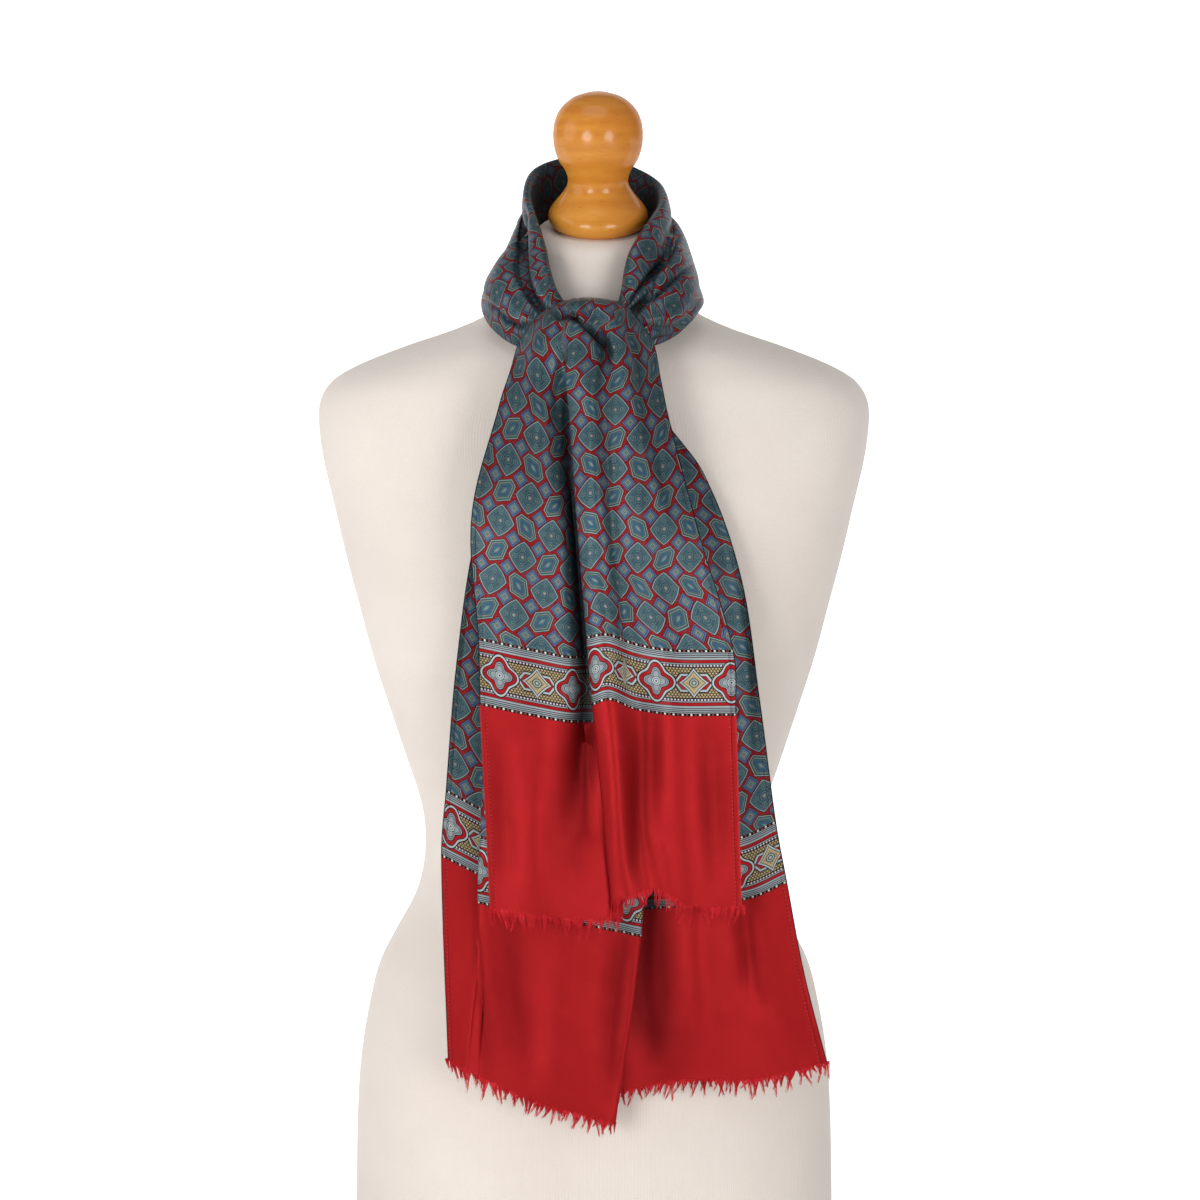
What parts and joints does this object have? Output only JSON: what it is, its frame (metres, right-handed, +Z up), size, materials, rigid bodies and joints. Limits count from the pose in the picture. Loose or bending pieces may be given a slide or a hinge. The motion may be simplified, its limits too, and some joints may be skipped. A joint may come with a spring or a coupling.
{
  "type": "long silk scarf on dress form",
  "caption": "Long printed silk scarf with bordered, fringed ends, wound once round the neck of a limbless dress form with a turned wooden neck knob.",
  "frame": {"origin": "middle of the dress form's flat underside", "axes": "+Z up, -Y towards the front where the scarf's ends hang, +X to the right as seen from the front"},
  "size_m": [0.399, 0.2806, 0.8584],
  "materials": {
    "cream_jersey": "fine matt knit",
    "varnished_wood": "clear gloss varnish",
    "printed_silk": "soft silk lustre",
    "red_silk": "soft silk lustre, frayed"
  },
  "bodies": {
    "root": {"form_body": "cream_jersey", "neck_knob": "varnished_wood", "wrap_back": "printed_silk", "wrap_left": "printed_silk", "wrap_right": "printed_silk", "knot": "printed_silk", "front_tail": "printed_silk", "back_tail": "printed_silk", "front_fringe": "red_silk", "back_fringe": "red_silk"}
  },
  "joints": []
}
